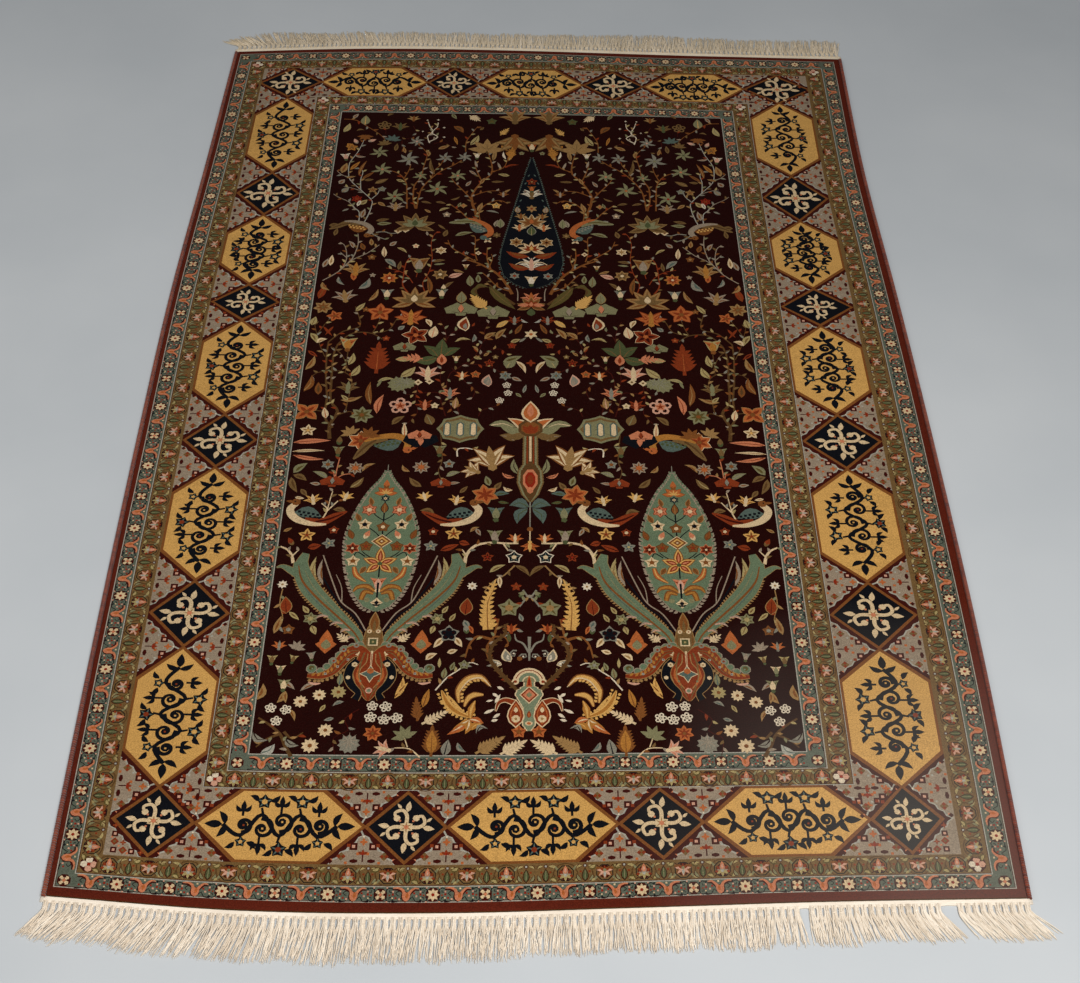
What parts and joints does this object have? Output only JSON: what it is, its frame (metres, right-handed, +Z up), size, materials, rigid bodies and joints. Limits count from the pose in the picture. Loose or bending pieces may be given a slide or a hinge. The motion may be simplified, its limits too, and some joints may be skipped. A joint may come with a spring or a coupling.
{
  "type": "hand-knotted indian rug",
  "caption": "Flat rectangular pile rug with a garden field, cartouche border, overcast sides and a knotted cotton fringe at each end.",
  "frame": {"origin": "on the flat underside, below the middle of the pile rectangle", "axes": "+Z up from the floor, +Y along the rug from the near fringe to the far one, towards the tip of the centre cypress; +X across"},
  "size_m": [1.3058, 2.1128, 0.0068],
  "materials": {
    "pile": "dense short pile with a soft silky sheen, dark maroon field with a patterned border",
    "side_cord": "rust yarn wrapped over the side warps",
    "cotton": "matt undyed cotton, flat-woven strip and loose plied threads"
  },
  "bodies": {
    "root": {"pile_body": "pile", "selvedge_left": "side_cord", "selvedge_right": "side_cord", "fringe_near": "cotton", "fringe_far": "cotton"}
  },
  "joints": []
}
